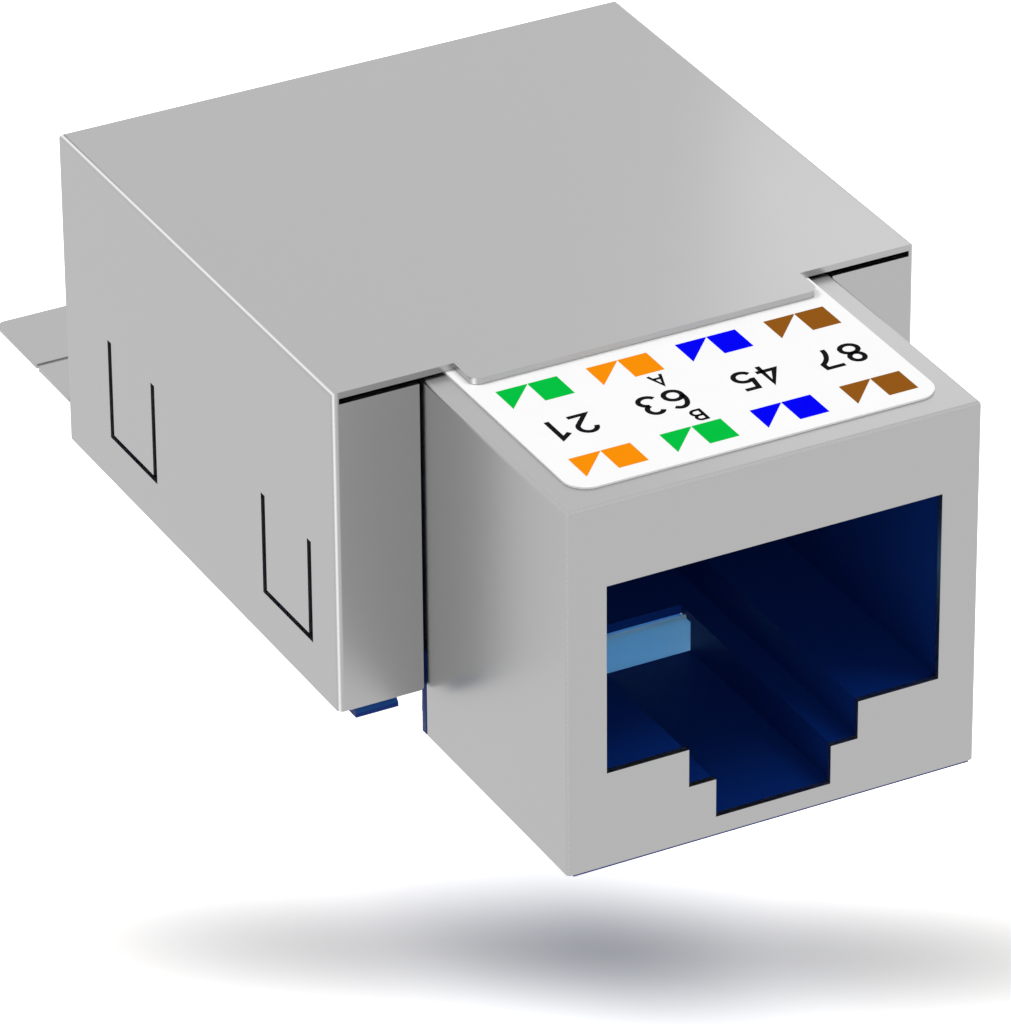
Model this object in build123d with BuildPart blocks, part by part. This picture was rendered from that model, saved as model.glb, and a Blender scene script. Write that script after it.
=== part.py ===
"""Shielded keystone jack for an eight-way plug, with a lift-off rear cover.

The origin is the middle of the panel opening, in the plane of the jack's front face.
+X is to the right seen from the front, +Y runs back along the plug, and +Z is up.
"""

import os

from build123d import *

os.makedirs("parts", exist_ok=True)

# Panel opening, and the part of its height that is left for the latch under the body
opening_height = 16.0
latch_room = 3.05

# Narrow front body
body_width = 14.5
body_height = 12.9
shoulder_depth = 9.45
shell_sheet = 0.22
shell_bend = 0.15

# Stepped plug opening: body of the plug, keyway, and slot for the plug's own latch
plug_width = 11.76
plug_height = 6.65
plug_floor = 3.35
plug_depth = 14.6
key_width = 6.0
key_step = 1.35
slot_width = 4.08
slot_step = 1.37
slot_end = 9.15
cavity_margin = 0.06

# Rear cover
cover_width = 20.7
cover_length = 19.96
cover_rise = 1.73
cover_sheet = 0.22
cover_bend = 0.2
flange_slot = 0.2
flange_gap = 0.1
flange_corner = 0.12
top_tongue_width = 12.3
top_tongue_reach = 1.25
top_tongue_corner = 0.35

# U-shaped lances in the cover's sides, cut by narrow slots and hinged at the top
lance_width = 3.56
lance_height = 3.67
lance_rise = 1.66
lance_front = 1.76
lance_pitch = 11.4
lance_side_slot = 0.28
lance_foot_slot = 0.21
lance_pocket = 0.3

# Arched cable entry in the cover's rear wall, and the seams beside that wall
cable_width = 8.0
cable_arch_rise = 4.3
seam = 0.1

# Floor plate, which ends in the cable tongue with its two slits
plate_sheet = 0.2
plate_reach = 5.96
plate_setback = 1.8
plate_corner = 0.3
slit_place = 2.58
slit_width = 0.16
slit_depth = 5.1

# Label
label_width = 12.9
label_margin = 0.97
label_under_cover = 0.8
label_thickness = 0.06
label_gap = 0.02
label_corner = 0.8

# Moulded housing
tray_skin = 0.32
back_wall = 0.8
tray_wall = 1.0
tray_floor = 1.4
tray_ledge = 0.9
tray_corner = 0.5
foot_width = 1.5
foot_inset = 0.25
foot_height = 0.3
foot_break = 0.15
hairline = 0.05
edge_break = 0.2

# Contact comb: a roof plate, fins between the contact tips, and a rear leg
comb_width = 8.9
comb_front = 3.6
comb_leg_drop = 5.4
comb_slot = 0.55
comb_slot_height = 1.35
fin_depth = 2.2
fin_drop = 3.1
fin_chamfer = 0.8

# Contacts, bent from wire
contact_count = 8
contact_pitch = 1.02
wire = 0.35
wire_bend = 0.42
wire_lift = 1.0
nose_gap = 0.5
nose_height = 0.95
tip_drop = 2.15
tip_length = 0.6
tip_gap = 0.55

# Circuit board
board_thickness = 1.0
board_lift = 1.2
board_depth = 10.7
board_gap = 0.3
leg_inset = 0.7
leg_stagger = 1.2
pin_hole = 0.3
pin_tail = 0.5

# Wire terminals and the block that holds them. The margin is from the last pins to the board's ledges.
terminal_margin = 0.76
terminal_width = 1.7
terminal_sheet = 0.4
terminal_height = 5.4
terminal_slot = 0.35
terminal_slot_depth = 3.4
terminal_mouth = 1.0
terminal_pin = 0.4
row_spacing = 3.5
block_gap = 1.0
block_depth = 6.9
block_height = 4.0
channel_width = 1.1
channel_depth = 1.7
channel_round = 0.4

# Wire cap, held in the cover
cap_gap = 0.1
cap_rib_depth = 0.9
cap_rib_gap = 0.1
cap_pocket_gap = 0.2
cap_break = 0.3

# Panel latch, pivoted under the front of the body
latch_width = 7.2
pivot_depth = 2.9
pivot_drop = 0.82
pivot_radius = 0.45
pivot_clearance = 0.05
eye_radius = 0.62
arm_thickness = 1.1
arm_drop = 1.85
arm_level = 6.0
arm_bend = 9.6
tail_width = 9.7
tail_start = 10.6
tail_end = 14.6
tail_lift = 0.25
hook_depth = 7.85
hook_length = 1.5
hook_ramp = 1.95
hook_catch = 1.05
latch_round = 0.25
grip_radius = 0.22
grip_count = 3
grip_pitch = 1.1
ear_thickness = 0.85
ear_gap = 0.15
ear_wall = 0.25

# Clearances between fixed pieces, and between the body and what lifts off it
fit = 0.05
slide = 0.12

# Levels, from the underside of the body up
z_under = -opening_height / 2 + latch_room
z_top = z_under + body_height
z_plug_floor = z_under + plug_floor
z_plug_ceiling = z_plug_floor + plug_height
z_key_floor = z_plug_floor - key_step
z_slot_floor = z_key_floor - slot_step
z_tray_under = z_key_floor - tray_skin
z_tray_floor = z_tray_under + tray_floor
z_plate_top = z_tray_floor + plate_sheet
z_board = z_tray_floor + board_lift
z_board_top = z_board + board_thickness
z_block_top = z_board_top + block_height
z_terminal_top = z_board_top + terminal_height
z_cover_under = z_under + cover_rise
z_lance = z_cover_under + lance_rise
z_cover_ceiling = z_top + label_thickness + label_gap
z_cover_top = z_cover_ceiling + cover_sheet
z_block_roof = z_top - shell_sheet - fit
z_wire_run = z_plug_ceiling + wire_lift
z_comb_slot = z_plug_ceiling + comb_slot_height
z_pivot = z_under - pivot_drop
z_arm = z_under - arm_drop - arm_thickness / 2

# Stations, from the front face back
y_tray = shoulder_depth + cover_sheet + slide
y_block_end = plug_depth + back_wall
y_board = y_block_end + board_gap
y_legs = y_board + leg_inset
y_terminals = y_legs + leg_stagger + block_gap
y_terminal_middle = y_terminals + block_depth / 2
y_cover_rear = shoulder_depth + cover_length
y_tray_rear = y_cover_rear - cover_sheet - slide
y_plate_front = y_terminals + plate_setback
y_plate_end = y_cover_rear + plate_reach
y_nose = comb_front + nose_gap + wire
y_tip = plug_depth - tip_gap

# Half widths, from the middle plane out
x_body = body_width / 2
x_block = x_body - shell_sheet - fit
x_cover = cover_width / 2
x_tray = x_cover - cover_sheet - slide
x_tray_inner = x_tray - tray_wall
x_ledge = x_tray_inner - tray_ledge
x_inside = x_tray_inner - fit
terminal_pitch = 2 * (x_ledge - terminal_margin) / (contact_count - 1)
x_latch = latch_width / 2
x_tail = tail_width / 2
x_ear = x_latch + ear_gap

SIDES = (-1, 1)


def face_plane(depth):
    """Plane across the jack at a depth behind the front face, seen from the front."""
    return Plane.XZ.offset(-depth)


def side_plane(x):
    """Plane along the jack at a distance from the middle, with Y across and Z up."""
    return Plane.YZ.offset(x)


def panel(low, high, mode=Mode.ADD):
    """Draw a rectangle in the sketch in hand, from its low corner to its high one."""
    with Locations(((low[0] + high[0]) / 2, (low[1] + high[1]) / 2)):
        Rectangle(high[0] - low[0], high[1] - low[1], mode=mode)


def band(half_width, low, high, mode=Mode.ADD):
    """Draw a rectangle that is centred on the middle plane in the sketch in hand."""
    panel((-half_width, low), (half_width, high), mode)


def plug_outline(margin):
    """Draw the plug's body and keyway in the sketch in hand, widened by a margin."""
    band(plug_width / 2 + margin, z_plug_floor - margin, z_plug_ceiling + margin)
    band(key_width / 2 + margin, z_key_floor, z_plug_ceiling)


def latch_slot_outline(margin):
    """Draw the slot for the plug's own latch in the sketch in hand."""
    band(slot_width / 2 + margin, z_slot_floor, z_plug_floor)


def contact_x(index):
    """Place of a contact across the jack."""
    return (index - (contact_count - 1) / 2) * contact_pitch


def leg_y(index):
    """Row of a contact's leg in the board. The rows alternate across the jack."""
    return y_legs + leg_stagger * (index % 2)


def terminal_x(index):
    """Place of a wire terminal across the jack."""
    return (index - (contact_count - 1) / 2) * terminal_pitch


def terminal_y(index):
    """Row of a wire terminal. The rows alternate across the jack."""
    return y_terminal_middle + row_spacing * (index % 2 - 0.5)


def lance_start(row):
    """Front edge of a lance, counted from the shoulders."""
    return shoulder_depth + lance_front + row * lance_pitch


# Front shell: a folded box of thin sheet, open below and behind
with BuildPart() as front_shell:
    with BuildSketch(face_plane(0)):
        band(x_body, z_under, z_top)
    extrude(amount=-y_block_end)
    face_edges = front_shell.faces().sort_by(Axis.Y)[0].edges().sort_by(Axis.Z)[1:]
    roof_edges = front_shell.faces().sort_by(Axis.Z)[-1].edges().filter_by(Axis.Y)
    fillet(face_edges + roof_edges, radius=shell_bend)
    with BuildSketch(face_plane(shell_sheet)):
        band(x_body - shell_sheet, z_under, z_top - shell_sheet)
    extrude(amount=-(y_block_end - shell_sheet), mode=Mode.SUBTRACT)
    with BuildSketch(face_plane(0)):
        plug_outline(0)
        latch_slot_outline(0)
    extrude(amount=-shell_sheet, mode=Mode.SUBTRACT)
    with BuildSketch(side_plane(0)):
        panel((shoulder_depth, z_under), (y_block_end, z_tray_floor + fit))
    extrude(amount=x_body, both=True, mode=Mode.SUBTRACT)

# Moulded housing: plug block in front, open tray behind, ears for the panel latch below
with BuildPart() as jack_housing:
    with BuildSketch(face_plane(shell_sheet)):
        band(x_block, z_under - hairline, z_block_roof)
    extrude(amount=-(y_block_end - shell_sheet))
    chamfer(jack_housing.faces().sort_by(Axis.Y)[0].edges().sort_by(Axis.Z)[1:], length=edge_break)
    chamfer(jack_housing.faces().sort_by(Axis.Z)[-1].edges().filter_by(Axis.Y), length=edge_break)
    with BuildSketch(face_plane(0)):
        band(x_body - shell_bend - fit, z_under - hairline, z_under)
    extrude(amount=-shell_sheet)
    with BuildSketch(face_plane(shoulder_depth + fit)):
        band(x_body, z_under, z_tray_floor)
    extrude(amount=-(y_tray - shoulder_depth - fit))
    with BuildSketch(face_plane(y_tray)):
        band(x_block, z_under - hairline, z_tray_under)
    extrude(amount=-(y_block_end - y_tray), mode=Mode.SUBTRACT)
    with BuildSketch(Plane.XY.offset(z_tray_under)) as tray_plan:
        band(x_tray, y_tray, y_tray_rear)
        fillet(tray_plan.vertices(), radius=tray_corner)
    extrude(amount=tray_floor)
    with BuildSketch(Plane.XY.offset(z_tray_floor)) as wall_plan:
        band(x_tray, y_tray, y_tray_rear)
        fillet(wall_plan.vertices(), radius=tray_corner)
        band(x_tray_inner, y_tray + tray_wall, y_tray_rear - tray_wall, Mode.SUBTRACT)
        band(x_ledge, y_tray_rear - tray_wall, y_tray_rear, Mode.SUBTRACT)
        band(x_body + fit, y_tray, y_tray + tray_wall, Mode.SUBTRACT)
    extrude(amount=z_block_top - z_tray_floor)
    with BuildSketch(Plane.XY.offset(z_tray_floor)):
        band(x_tray_inner, y_board, y_tray_rear - tray_wall)
        band(x_ledge, y_board, y_tray_rear - tray_wall, Mode.SUBTRACT)
    extrude(amount=board_lift)
    with BuildSketch(face_plane(0)):
        plug_outline(cavity_margin)
    extrude(amount=-plug_depth, mode=Mode.SUBTRACT)
    with BuildSketch(face_plane(0)):
        latch_slot_outline(cavity_margin)
    extrude(amount=-y_tray, mode=Mode.SUBTRACT)
    with BuildSketch(face_plane(slot_end)):
        band(x_latch, z_under - hairline, z_tray_under)
    extrude(amount=-(y_tray - slot_end), mode=Mode.SUBTRACT)
    with BuildSketch(Plane.XY.offset(z_plug_ceiling)):
        band(comb_width / 2 + fit, comb_front - fit, y_block_end)
    extrude(amount=z_top - z_plug_ceiling, mode=Mode.SUBTRACT)
    with BuildSketch(face_plane(plug_depth)):
        band(comb_width / 2 + fit, z_plug_ceiling - comb_leg_drop - fit, z_top)
    extrude(amount=-back_wall, mode=Mode.SUBTRACT)
    for side in SIDES:
        with BuildSketch(side_plane(side * (x_tray - foot_inset))):
            with BuildLine():
                Polyline(
                    (shoulder_depth, z_tray_under - foot_height),
                    (shoulder_depth, z_tray_under - foot_break),
                    (shoulder_depth + foot_break, z_tray_under),
                    (y_tray_rear, z_tray_under),
                    (y_tray_rear, z_tray_under - foot_height),
                    close=True,
                )
            make_face()
        extrude(amount=-side * foot_width)
        for row in range(2):
            with BuildSketch(side_plane(side * x_tray)):
                panel((lance_start(row), z_lance), (lance_start(row) + lance_width, z_lance + lance_height))
            extrude(amount=-side * lance_pocket, mode=Mode.SUBTRACT)
        with BuildSketch(side_plane(side * x_ear)):
            with Locations((pivot_depth, z_pivot)):
                Circle(eye_radius + ear_wall)
            panel(
                (pivot_depth - eye_radius - ear_wall, z_pivot),
                (pivot_depth + eye_radius + ear_wall, z_under),
            )
            with Locations((pivot_depth, z_pivot)):
                Circle(pivot_radius + pivot_clearance, mode=Mode.SUBTRACT)
        extrude(amount=side * ear_thickness)

# Contact comb: drops into the window over the plug, slotted for the eight wires
with BuildPart() as contact_comb:
    with BuildSketch(side_plane(0)) as comb_profile:
        panel((comb_front, z_plug_ceiling + cavity_margin), (y_block_end, z_block_roof))
        panel((plug_depth, z_plug_ceiling - comb_leg_drop), (y_block_end, z_block_roof))
        with BuildLine():
            Polyline(
                (plug_depth, z_plug_ceiling + cavity_margin),
                (plug_depth - fin_depth, z_plug_ceiling + cavity_margin),
                (plug_depth - fin_depth, z_plug_ceiling - fin_drop + fin_chamfer),
                (plug_depth - fin_depth + fin_chamfer, z_plug_ceiling - fin_drop),
                (plug_depth, z_plug_ceiling - fin_drop),
                close=True,
            )
        make_face()
    extrude(amount=comb_width / 2, both=True)
    for index in range(contact_count):
        with BuildSketch(side_plane(contact_x(index))):
            panel((comb_front + nose_gap, z_plug_ceiling), (y_block_end, z_comb_slot))
            panel((plug_depth - fin_depth, z_plug_ceiling - fin_drop), (plug_depth, z_comb_slot))
        extrude(amount=comb_slot / 2, both=True, mode=Mode.SUBTRACT)

# Contacts: one bent wire each, from its leg in the board to its tip between the fins
contacts = []
for index in range(contact_count):
    with BuildPart() as contact:
        with BuildSketch(side_plane(contact_x(index))):
            with BuildLine() as wire_path:
                FilletPolyline(
                    (leg_y(index), z_board - pin_tail),
                    (leg_y(index), z_wire_run),
                    (y_nose, z_wire_run),
                    (y_nose, z_wire_run - nose_height),
                    (y_tip - tip_length, z_plug_ceiling - tip_drop),
                    (y_tip, z_plug_ceiling - tip_drop),
                    radius=wire_bend,
                )
            trace(wire_path.line, line_width=wire)
        extrude(amount=wire / 2, both=True)
    contacts.append(contact)

# Circuit board on the tray's ledges, drilled for the contact legs and terminal pins
with BuildPart() as circuit_board:
    with BuildSketch(Plane.XY.offset(z_board)) as board_plan:
        band(x_inside, y_board, y_board + board_depth)
        for index in range(contact_count):
            with Locations((contact_x(index), leg_y(index)), (terminal_x(index), terminal_y(index))):
                Circle(pin_hole, mode=Mode.SUBTRACT)
    extrude(amount=board_thickness)

# Wire terminals: forks of thin sheet that stand on the board
terminals = []
for index in range(contact_count):
    x = terminal_x(index)
    with BuildPart() as terminal:
        with BuildSketch(face_plane(terminal_y(index))) as fork:
            panel((x - terminal_width / 2, z_board_top), (x + terminal_width / 2, z_terminal_top))
            chamfer(fork.vertices().group_by(Axis.Y)[-1], length=terminal_slot)
            panel((x - terminal_pin / 2, z_board - pin_tail), (x + terminal_pin / 2, z_board_top))
            with BuildLine():
                Polyline(
                    (x - terminal_slot / 2, z_terminal_top - terminal_slot_depth),
                    (x + terminal_slot / 2, z_terminal_top - terminal_slot_depth),
                    (x + terminal_slot / 2, z_terminal_top - terminal_mouth),
                    (x + terminal_slot, z_terminal_top),
                    (x - terminal_slot, z_terminal_top),
                    (x - terminal_slot / 2, z_terminal_top - terminal_mouth),
                    close=True,
                )
            make_face(mode=Mode.SUBTRACT)
        extrude(amount=terminal_sheet / 2, both=True)
    terminals.append(terminal)

# Terminal block: wire channels along the jack, with a pocket for each fork
with BuildPart() as terminal_block:
    with BuildSketch(face_plane(y_terminals)):
        band(x_inside, z_board_top, z_block_top)
        for index in range(contact_count):
            x = terminal_x(index)
            with Locations((x, z_block_top)):
                RectangleRounded(channel_width, 2 * channel_depth, channel_round, mode=Mode.SUBTRACT)
    extrude(amount=-block_depth)
    with BuildSketch(Plane.XY.offset(z_board_top)):
        for index in range(contact_count):
            with Locations((terminal_x(index), terminal_y(index))):
                Rectangle(terminal_width + 2 * fit, terminal_sheet + 2 * fit)
    extrude(amount=block_height, mode=Mode.SUBTRACT)

# Wire cap: ribs that press the wires down, with room for the forks between them
with BuildPart() as wire_cap:
    with BuildSketch(face_plane(y_terminals)):
        band(x_inside, z_block_top + cap_gap, z_cover_ceiling)
    extrude(amount=-block_depth)
    chamfer(wire_cap.edges().filter_by(Axis.Z), length=cap_break)
    with BuildSketch(face_plane(y_terminals)):
        for index in range(contact_count):
            with Locations((terminal_x(index), z_block_top + cap_gap - cap_rib_depth / 2)):
                Rectangle(channel_width - 2 * cap_rib_gap, cap_rib_depth)
    extrude(amount=-block_depth)
    with BuildSketch(Plane.XY.offset(z_block_top + cap_gap - cap_rib_depth)):
        for index in range(contact_count):
            with Locations((terminal_x(index), terminal_y(index))):
                Rectangle(terminal_width + 2 * cap_pocket_gap, terminal_sheet + 2 * cap_pocket_gap)
    extrude(amount=z_terminal_top + cap_pocket_gap - z_block_top - cap_gap + cap_rib_depth, mode=Mode.SUBTRACT)

# Rear cover: a folded lid with front flanges, a front tongue, side lances and a cable arch
with BuildPart() as rear_cover:
    with BuildSketch(face_plane(shoulder_depth)):
        band(x_cover, z_cover_under, z_cover_top)
    extrude(amount=-cover_length)
    lid_edges = rear_cover.faces().sort_by(Axis.Z)[-1].edges()
    corner_edges = rear_cover.faces().sort_by(Axis.Y)[0].edges().filter_by(Axis.Z)
    fillet(lid_edges.sort_by(Axis.Y)[1:] + corner_edges, radius=cover_bend)
    with BuildSketch(face_plane(shoulder_depth + cover_sheet)):
        band(x_cover - cover_sheet, z_cover_under, z_cover_ceiling)
    extrude(amount=-(cover_length - 2 * cover_sheet), mode=Mode.SUBTRACT)
    with BuildSketch(face_plane(shoulder_depth)):
        band(x_body + flange_gap, z_cover_under, z_cover_ceiling)
        band(x_cover - cover_sheet, z_cover_ceiling - flange_slot, z_cover_ceiling)
    extrude(amount=-cover_sheet - flange_slot, mode=Mode.SUBTRACT)
    flange_edges = rear_cover.edges().filter_by(Axis.Y).group_by(Axis.Z)[0].sort_by(Axis.X)
    fillet(
        [edge for edge in flange_edges if abs(edge.center().X) < x_body + 2 * flange_gap],
        radius=flange_corner,
    )
    with BuildSketch(Plane.XY.offset(z_cover_ceiling)) as tongue_plan:
        band(top_tongue_width / 2, shoulder_depth - top_tongue_reach, shoulder_depth + cover_sheet)
        fillet(tongue_plan.vertices().group_by(Axis.Y)[0], radius=top_tongue_corner)
    extrude(amount=cover_sheet)
    with BuildSketch(face_plane(y_cover_rear - cover_sheet)):
        band(x_cover - cover_sheet, z_cover_under, z_plate_top + fit)
        band(cable_width / 2, z_cover_under, z_plate_top + cable_arch_rise)
        with Locations((0, z_plate_top + cable_arch_rise)):
            Circle(cable_width / 2)
        for side in SIDES:
            with Locations((side * (x_cover - cover_sheet - seam / 2), (z_cover_under + z_cover_ceiling - seam) / 2)):
                Rectangle(seam, z_cover_ceiling - seam - z_cover_under)
    extrude(amount=-cover_sheet, mode=Mode.SUBTRACT)
    for side in SIDES:
        with BuildSketch(side_plane(side * x_cover)):
            for row in range(2):
                start = lance_start(row)
                panel((start, z_lance), (start + lance_width, z_lance + lance_height))
                panel(
                    (start + lance_side_slot, z_lance + lance_foot_slot),
                    (start + lance_width - lance_side_slot, z_lance + lance_height),
                    Mode.SUBTRACT,
                )
        extrude(amount=-side * cover_sheet, mode=Mode.SUBTRACT)

# Floor plate in the tray, widening behind the cover into the slit cable tongue
with BuildPart() as base_plate:
    with BuildSketch(Plane.XY.offset(z_tray_floor)) as plate_plan:
        band(x_cover, y_cover_rear + fit, y_plate_end)
        fillet(plate_plan.vertices().group_by(Axis.Y)[-1], radius=plate_corner)
        band(x_ledge - fit, y_plate_front, y_plate_end - plate_corner)
        for side in SIDES:
            with Locations((side * (x_cover - slit_depth / 2), y_cover_rear + slit_place)):
                Rectangle(slit_depth, slit_width, mode=Mode.SUBTRACT)
    extrude(amount=plate_sheet)

# Label on the roof of the front shell
with BuildPart() as label:
    with BuildSketch(Plane.XY.offset(z_top)) as label_plan:
        band(label_width / 2, label_margin, shoulder_depth + label_under_cover)
        fillet(label_plan.vertices().group_by(Axis.Y)[0], radius=label_corner)
    extrude(amount=label_thickness)

# Panel latch: an arm on a cross pin, with the panel hook, a finger tail and grip ridges
with BuildPart() as panel_latch:
    with BuildSketch(side_plane(0)) as latch_profile:
        with BuildLine() as arm_line:
            Polyline(
                (pivot_depth, z_pivot),
                (arm_level, z_arm),
                (arm_bend, z_arm),
                (tail_end, z_arm + tail_lift),
            )
        trace(arm_line.line, line_width=arm_thickness)
        with BuildLine():
            Polyline(
                (hook_depth - hook_length - hook_ramp, z_arm),
                (hook_depth - hook_length, z_under - latch_room - hook_catch),
                (hook_depth, z_under - latch_room - hook_catch),
                (hook_depth, z_arm),
                close=True,
            )
        make_face()
        fillet(latch_profile.vertices().group_by(Axis.Y)[0], radius=latch_round)
        fillet(latch_profile.vertices().group_by(Axis.X)[-1], radius=latch_round)
        with Locations((pivot_depth, z_pivot)):
            Circle(eye_radius)
        for ridge in range(grip_count):
            place = tail_end - grip_pitch * (ridge + 0.6)
            lift = tail_lift * (place - arm_bend) / (tail_end - arm_bend)
            with Locations((place, z_arm + lift - arm_thickness / 2)):
                Circle(grip_radius)
    extrude(amount=x_tail, both=True)
    with BuildSketch(Plane.XY.offset(z_under)):
        band(x_tail, 0, tail_start)
        band(x_latch, 0, tail_start, Mode.SUBTRACT)
    extrude(amount=-opening_height, mode=Mode.SUBTRACT)
    with BuildSketch(side_plane(0)):
        with Locations((pivot_depth, z_pivot)):
            Circle(pivot_radius)
    extrude(amount=x_ear + ear_thickness, both=True)

pieces = {
    "front_shell": front_shell,
    "jack_housing": jack_housing,
    "contact_comb": contact_comb,
    "circuit_board": circuit_board,
    "terminal_block": terminal_block,
    "wire_cap": wire_cap,
    "rear_cover": rear_cover,
    "base_plate": base_plate,
    "label": label,
    "panel_latch": panel_latch,
}
for index in range(contact_count):
    pieces[f"contact_{index + 1}"] = contacts[index]
    pieces[f"terminal_{index + 1}"] = terminals[index]
for name, piece in pieces.items():
    piece.part.label = name
    export_step(piece.part, f"parts/{name}.step")
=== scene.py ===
"""Looks of a shielded keystone jack: satin plated sheet, dark blue mouldings and a printed label.

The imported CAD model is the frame. Its nodes keep their shape and get their finish here. The print on the
label, the solder on the board and two bars of clear plastic are added as pieces of their own.
"""

import math

import bpy
import numpy as np
from mathutils import Matrix, Vector


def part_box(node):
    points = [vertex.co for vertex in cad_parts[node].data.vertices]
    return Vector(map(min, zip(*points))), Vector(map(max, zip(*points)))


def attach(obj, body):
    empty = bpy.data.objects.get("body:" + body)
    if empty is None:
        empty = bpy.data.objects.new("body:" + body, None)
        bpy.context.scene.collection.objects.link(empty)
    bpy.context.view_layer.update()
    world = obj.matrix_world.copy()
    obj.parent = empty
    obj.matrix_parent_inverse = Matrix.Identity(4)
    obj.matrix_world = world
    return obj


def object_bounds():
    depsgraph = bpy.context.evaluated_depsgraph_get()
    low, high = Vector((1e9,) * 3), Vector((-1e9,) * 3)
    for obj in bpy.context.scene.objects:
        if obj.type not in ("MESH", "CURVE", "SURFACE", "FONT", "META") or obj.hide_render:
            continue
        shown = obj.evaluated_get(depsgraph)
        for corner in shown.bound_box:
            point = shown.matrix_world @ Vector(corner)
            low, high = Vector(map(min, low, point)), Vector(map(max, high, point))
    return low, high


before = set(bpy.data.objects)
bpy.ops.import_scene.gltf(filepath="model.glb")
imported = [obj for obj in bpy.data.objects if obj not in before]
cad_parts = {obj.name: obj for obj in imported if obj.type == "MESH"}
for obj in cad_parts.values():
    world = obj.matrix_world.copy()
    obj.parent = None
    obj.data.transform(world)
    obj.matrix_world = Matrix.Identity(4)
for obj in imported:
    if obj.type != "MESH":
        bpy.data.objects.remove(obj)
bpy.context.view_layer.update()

MM = 0.001
WELD_DISTANCE = 0.0005 * MM

# Camera, from a fit to measured corners of the photograph
CAMERA_AZIMUTH = -27.4372
CAMERA_ELEVATION = 30.0156
CAMERA_ROLL = -0.5166
CAMERA_DISTANCE = 247.861 * MM
CAMERA_AIM = Vector((-2.8222, 12.4733, 0.4761)) * MM
CAMERA_LENS = 273.21
CAMERA_SENSOR = 36.0
CAMERA_CLIP = (0.01, 10.0)

# Studio: where the floor's glow spares the shadow is given along and across the photograph
FLOOR_GAP = 8.0 * MM
FLOOR_REACH = 1.5
FLOOR_WHITE = (0.97, 0.95, 0.91)
FLOOR_GLOW = 0.01
SHADOW_MIDDLE = (3.0 * MM, 1.3 * MM)
SHADOW_REACH = (26.0 * MM, 7.4 * MM)
SHADOW_TURN = -3.2
SKY_STRENGTH = 0.35
LAMP_DISTANCE = 0.40
KEY_SIZE = 0.15
FILL_SIZE = 0.16
SHEEN_DISTANCE = 0.028
SHEEN_SIZE = 0.014
SHEEN_TARGET = Vector((11.0, 7.0, 8.2)) * MM

# Print on the label, in millimetres from the label's front right corner as the jack faces us
COLUMN_STARTS = (0.55, 3.70, 6.85, 10.00)
ROW_STARTS = (0.65, 5.40)
SQUARE_SIZE = (1.02, 1.20)
TRIANGLE_START = 1.05
TRIANGLE_WIDTH = 1.08
TRIANGLE_LOW_SIDE = 0.04
ROW_COLOURS = (("brown", "blue", "green", "orange"), ("brown", "blue", "orange", "green"))
PIN_NUMBERS = {"87": (0.82, 2.93), "45": (3.74, 2.93), "63": (7.06, 2.95), "21": (10.27, 2.95)}
NUMBER_HEIGHT = 1.23
NUMBER_STEP = 0.89
NUMBER_WEIGHT = 0.165
ROW_LETTERS = {"B": (7.10, 2.02), "A": (7.12, 4.50)}
LETTER_HEIGHT = 0.70
LETTER_WEIGHT = 0.105
INK_THICKNESS = 0.008 * MM
INK_COLOURS = {
    "brown": (0.290, 0.098, 0.010),
    "blue": (0.002, 0.002, 0.93),
    "green": (0.002, 0.53, 0.055),
    "orange": (0.96, 0.280, 0.003),
    "black": (0.010, 0.010, 0.012),
}

# Lip on the latch's tail, and the pane in the window at the end of the slot for the plug's latch
LIP_LEVEL = -6.52 * MM
LIP_RADII = (0.20 * MM, 0.22 * MM)
LIP_INSET = 0.15 * MM
PANE_CENTRE = (0.0, 9.47 * MM, -4.05 * MM)
PANE_HALF_WIDTH = 3.9 * MM
PANE_RADII = (0.14 * MM, 0.93 * MM)
BAR_STEPS = 24
BAR_TURNS = 20

# Solder
SOLDER_PAD = 0.52 * MM
SOLDER_NECK = 0.16 * MM
SOLDER_HEIGHT = 0.42 * MM
SOLDER_STEPS = 7
SOLDER_SIDES = 16


# Node trees


def add(tree, kind, **settings):
    """Add a node to a tree, and set its properties."""
    node = tree.nodes.new(kind)
    for name, value in settings.items():
        setattr(node, name, value)
    return node


def fill(node, **values):
    """Fill a node's inputs by name, with underscores for spaces."""
    for name, value in values.items():
        node.inputs[name.replace("_", " ")].default_value = value
    return node


def begin_group(name, inputs, outputs):
    """Start a shader node group with float inputs, as name and value, and outputs, as name and socket type."""
    group = bpy.data.node_groups.new(name, "ShaderNodeTree")
    for socket, value in inputs.items():
        made = group.interface.new_socket(socket, in_out="INPUT", socket_type="NodeSocketFloat")
        made.default_value = value
    for socket, kind in outputs.items():
        group.interface.new_socket(socket, in_out="OUTPUT", socket_type=kind)
    return group, group.nodes.new("NodeGroupInput"), group.nodes.new("NodeGroupOutput")


def math_node(tree, operation, a, b=None, c=None, clamp=False):
    """A Math node whose operands are sockets or numbers."""
    node = add(tree, "ShaderNodeMath", operation=operation, use_clamp=clamp)
    for slot, value in enumerate((a, b, c)):
        if value is None:
            continue
        if isinstance(value, (int, float)):
            node.inputs[slot].default_value = value
        else:
            tree.links.new(value, node.inputs[slot])
    return node.outputs[0]


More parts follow.
